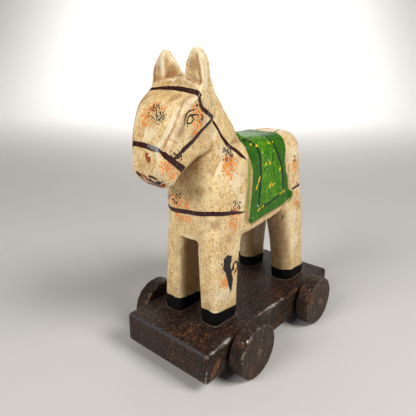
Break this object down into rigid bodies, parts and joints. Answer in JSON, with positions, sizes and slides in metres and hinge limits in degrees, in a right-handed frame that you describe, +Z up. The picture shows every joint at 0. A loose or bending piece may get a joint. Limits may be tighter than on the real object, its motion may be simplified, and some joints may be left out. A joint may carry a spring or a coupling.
{
  "type": "wheeled horse figure",
  "caption": "Carved wooden horse with painted bridle and saddle blanket, standing on a plank carried by turning disc wheels.",
  "frame": {"origin": "middle of the footprint, on the surface that the wheels stand on", "axes": "+Z up, the horse faces -Y, and its own left side is +X"},
  "size_m": [0.072, 0.1192, 0.1456],
  "materials": {
    "painted_wood": "worn cream paint under satin varnish",
    "stained_wood": "dark stain, worn",
    "bare_wood": "bare, matt"
  },
  "bodies": {
    "stand": {"plank": "stained_wood", "horse": "painted_wood", "pin_front_left": "bare_wood", "pin_front_right": "bare_wood", "pin_rear_left": "bare_wood", "pin_rear_right": "bare_wood"},
    "front_left_wheel": {"wheel_front_left": "stained_wood"},
    "front_right_wheel": {"wheel_front_right": "stained_wood"},
    "rear_left_wheel": {"wheel_rear_left": "stained_wood"},
    "rear_right_wheel": {"wheel_rear_right": "stained_wood"}
  },
  "joints": [
    {"name": "front_left_wheel_spin", "type": "hinge", "parent": "stand", "child": "front_left_wheel", "pos_m": [0.0318, -0.02683, 0.01346], "axis": [1, 0, 0], "continuous": true},
    {"name": "front_right_wheel_spin", "type": "hinge", "parent": "stand", "child": "front_right_wheel", "pos_m": [-0.0318, -0.02683, 0.01346], "axis": [1, 0, 0], "continuous": true},
    {"name": "rear_left_wheel_spin", "type": "hinge", "parent": "stand", "child": "rear_left_wheel", "pos_m": [0.0318, 0.03317, 0.01346], "axis": [1, 0, 0], "continuous": true},
    {"name": "rear_right_wheel_spin", "type": "hinge", "parent": "stand", "child": "rear_right_wheel", "pos_m": [-0.0318, 0.03317, 0.01346], "axis": [1, 0, 0], "continuous": true}
  ]
}
